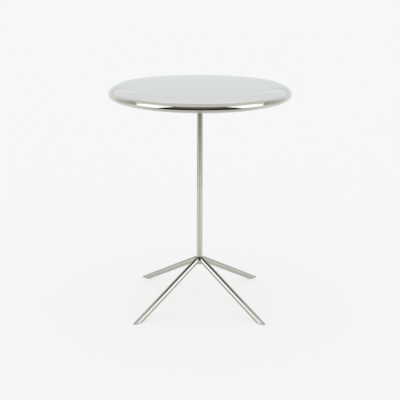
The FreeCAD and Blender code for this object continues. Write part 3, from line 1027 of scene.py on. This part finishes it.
world = bpy.data.worlds.new("studio")
world.use_nodes = True
world.node_tree.nodes.clear()
scene.world = world
start = Wire(world.node_tree)
direction = start.node("ShaderNodeTexCoord", output="Generated")
towards = start.node("ShaderNodeSeparateXYZ", None, {0: direction})
behind = towards.other("Y").between(*studio["backTurn"])
low = towards.other("Z").between(*studio["lowTurn"])
aside = towards.apply("ABSOLUTE").between(*studio["sideTurn"])
backdrop = low.colours(opaque(studio["backTone"]), opaque(studio["lowTone"]))
backdrop = aside.colours(backdrop, opaque(studio["sideTone"]))
shown = behind.colours(opaque(studio["frontTone"]), backdrop)
light = seenRays(start).colours(opaque(studio["surround"]), shown)
light = start.node("ShaderNodeBackground", None, {"Color": light})
start.node("ShaderNodeOutputWorld", None, {"Surface": light})

# a bright panel above the table, a painted reflection for the top's face that lights nothing
overheadSizes = {
    "level": 1.4,
    "outline": [(-1.02, -1.02), (1.02, -1.02), (1.6, 0.3), (2.5, 2.5), (-2.5, 2.5), (-1.6, 0.3)],
    "strength": 1.34,
    "fade": ("Y", -1.02, 2.5),
    "stops": [(0.0, (0.90, 0.925, 1.0)), (0.23, (0.835, 0.855, 0.935)), (0.57, (0.78, 0.805, 0.885))],
}
overheadEdge = [(*corner, overheadSizes["level"]) for corner in overheadSizes["outline"]]
addCard("overheadPanel", overheadEdge, lightTone("overheadTone", overheadSizes))

# white cards just below the front of the rim on both sides, painted highlights for the rim that light
# nothing
boardSizes = {
    "level": 0.44,
    "outline": [(0.12, -0.285), (0.16, -0.305), (0.28, -0.327), (0.66, -0.46), (0.55, -0.335),
                (0.25, -0.168), (0.18, -0.147), (0.1, -0.17), (0.09, -0.24)],
    "colour": studio["whiteTone"],
    "strength": 1.6,
    "oneSided": True,
}
# dark cards just below the front of the rim, a painted dark reflection for the rim that blocks no light
flagSizes = {
    "level": 0.441,
    "inner": 0.194,
    "outer": 0.286,
    "innerTurn": 30,      # degrees from the front
    "outerTurn": 19,
    "steps": 12,
    "shoulder": (0.103, -0.178),
    "tip": (0.16, -0.147),
    "fade": ("Y", -0.286, -0.195),
    "stops": [(0.0, (0.27, 0.26, 0.23)), (0.6, (0.11, 0.105, 0.095)), (1.0, (0.012, 0.011, 0.010))],
    "oneSided": True,
}
# grey cards at both sides, painted reflections that light nothing, darker towards the front and fading out
# at the top
wallSizes = {
    "aside": 0.62,
    "outline": [(-0.2, 0.1), (0.3, 0.1), (0.3, 0.4), (0.157, 0.47), (-0.02, 0.53), (-0.12, 0.6),
                (-0.2, 0.6)],
    "fade": ("Y", -0.2, 0.25),
    "stops": [(0.0, (0.44, 0.43, 0.40)), (0.3, (0.58, 0.57, 0.54)), (0.6, (0.67, 0.66, 0.63)),
              (1.0, (0.76, 0.75, 0.72))],
    "melt": ("Z", 0.51, 0.59),
}
boardEdge = [(*corner, boardSizes["level"]) for corner in boardSizes["outline"]]
flagOut = spread(0, flagSizes["outerTurn"], flagSizes["steps"])
flagBack = spread(flagSizes["innerTurn"], 0, flagSizes["steps"])
flagEdge = ringPoints(flagSizes["outer"], flagSizes["level"], flagOut)
flagEdge += [(*flagSizes[corner], flagSizes["level"]) for corner in ("shoulder", "tip")]
flagEdge += ringPoints(flagSizes["inner"], flagSizes["level"], flagBack)
wallEdge = [(wallSizes["aside"], *corner) for corner in wallSizes["outline"]]
sideCards = {
    "board": (boardEdge, lightTone("boardTone", boardSizes)),
    "darkFlag": (flagEdge, lightTone("flagTone", flagSizes)),
    "wall": (wallEdge, lightTone("wallTone", wallSizes)),
}
for name, (edge, tone) in sideCards.items():
    # one card on the right, and its mirror image on the left
    addCard(name + "Right", edge, tone)
    addCard(name + "Left", mirrored(edge), tone)

shadeSizes = {
    "radius": 1.2,
    "foot": 0.003,
    "height": 0.28,
    "footTurn": 40,       # degrees from the front, fewer at the floor than at the top
    "topTurn": 66,
    "steps": 48,
    "fade": ("Z", 0.0, 0.28),
    "stops": [(0.0, (0.66, 0.65, 0.62)), (0.24, (0.58, 0.57, 0.54)), (0.6, (0.41, 0.40, 0.37)),
              (1.0, (0.27, 0.26, 0.24))],
}
shadeFoot = spread(-shadeSizes["footTurn"], shadeSizes["footTurn"], shadeSizes["steps"])
shadeTop = spread(-shadeSizes["topTurn"], shadeSizes["topTurn"], shadeSizes["steps"])
addBand("frontShade", ringPoints(shadeSizes["radius"], shadeSizes["foot"], shadeFoot),
        ringPoints(shadeSizes["radius"], shadeSizes["height"], shadeTop), lightTone("shadeTone", shadeSizes))

# painted floor shade under and around the table, just above the floor, which only the polish shows and which
# lights nothing
floorShadeSizes = {
    "level": 0.002,
    "outline": [(0.32, -1.19), (0.25, -0.42), (0.22, 0.1), (0.35, 0.3), (0.6, 0.7), (0.5, 1.1)],
    "fade": ("Y", -1.2, 1.2),
    "stops": [(0.0, (0.50, 0.495, 0.475)), (0.16, (0.69, 0.685, 0.66)), (0.33, (0.78, 0.775, 0.75)),
              (0.39, (0.71, 0.705, 0.68)), (0.64, (0.72, 0.715, 0.69)), (0.72, (0.61, 0.605, 0.58)),
              (1.0, (0.90, 0.90, 0.89))],
}
floorShadeEdge = [(*corner, floorShadeSizes["level"]) for corner in floorShadeSizes["outline"]]  # its right half
addCard("floorShadeCard", floorShadeEdge + mirrored(floorShadeEdge), lightTone("floorShadeTone", floorShadeSizes))

skirtSizes = {
    "level": 0.46,
    "inner": 0.165,
    "outer": 4.0,
    "darkRadius": 0.208,
    "front": -0.2,        # the painted highlights lie in front of this line, left and right of the gap
    "gap": 0.1,
    "dark": (0.02, 0.019, 0.018),
    "grey": (0.57, 0.565, 0.545),
    "white": 1.65,
}


def makeSkirtTone(name):
    # painted reflections that light nothing: painted dark round the rim, painted highlights in front on both
    # sides, and grey elsewhere
    tone, start = newMaterial(name)
    place = start.node("ShaderNodeTexCoord", output="Object")
    across = place.node("ShaderNodeSeparateXYZ", None, {0: place})
    paintedHighlight = (across.other("Y") < skirtSizes["front"]) * (across.apply("ABSOLUTE") > skirtSizes["gap"])
    white = [skirtSizes["white"] * part for part in studio["whiteTone"]]
    shade = paintedHighlight.colours(opaque(skirtSizes["grey"]), opaque(white))
    paintedDarkRing = axisDistance(place) < skirtSizes["darkRadius"]
    shade = paintedDarkRing.colours(shade, opaque(skirtSizes["dark"]))
    shown = shade.node("ShaderNodeEmission", None, {"Color": shade})
    start.node("ShaderNodeOutputMaterial", None, {"Surface": clearBehind(shown)})
    return tone


fullTurn = spread(0, 360, studio["ringSteps"])
addBand("skirt", ringPoints(skirtSizes["inner"], skirtSizes["level"], fullTurn),
        ringPoints(skirtSizes["outer"], skirtSizes["level"], fullTurn), makeSkirtTone("skirtTone"))

# a far wall in the floor's colour, which only the camera sees, so that no line shows at the horizon
horizonSizes = {
    "reach": 12.0,
    "height": 48.0,
    "colour": (0.928, 0.931, 0.929),
}
horizon = addBand("horizon", ringPoints(horizonSizes["reach"], 0.0, fullTurn),
                  ringPoints(horizonSizes["reach"], horizonSizes["height"], fullTurn),
                  lightTone("horizonTone", horizonSizes))
horizon.visible_camera = True
horizon.visible_glossy = False
print("studio: floor and cards set")


# Camera: the photograph's place and lens, for a square picture

cameraView = {
    "distance": 1.625,
    "height": 0.7024,
    "pitchDown": 15.907,  # degrees, as yaw and roll are
    "yaw": -0.0235,
    "roll": 0.169,
    "focalShare": 1.875,  # focal length as a share of the picture's width
    "sensor": 36.0,
}
lens = bpy.data.cameras.new("camera")
lens.sensor_width = cameraView["sensor"]
lens.sensor_fit = "HORIZONTAL"
lens.lens = cameraView["focalShare"] * cameraView["sensor"]
camera = bpy.data.objects.new("camera", lens)
camera.location = (0, -cameraView["distance"], cameraView["height"])
aim = Matrix.Rotation(math.radians(cameraView["yaw"]), 4, "Z")
aim @= Matrix.Rotation(math.radians(90 - cameraView["pitchDown"]), 4, "X")
aim @= Matrix.Rotation(math.radians(cameraView["roll"]), 4, "Z")
camera.rotation_euler = aim.to_euler()
scene.collection.objects.link(camera)
scene.camera = camera

scene.view_settings.view_transform = "Standard"
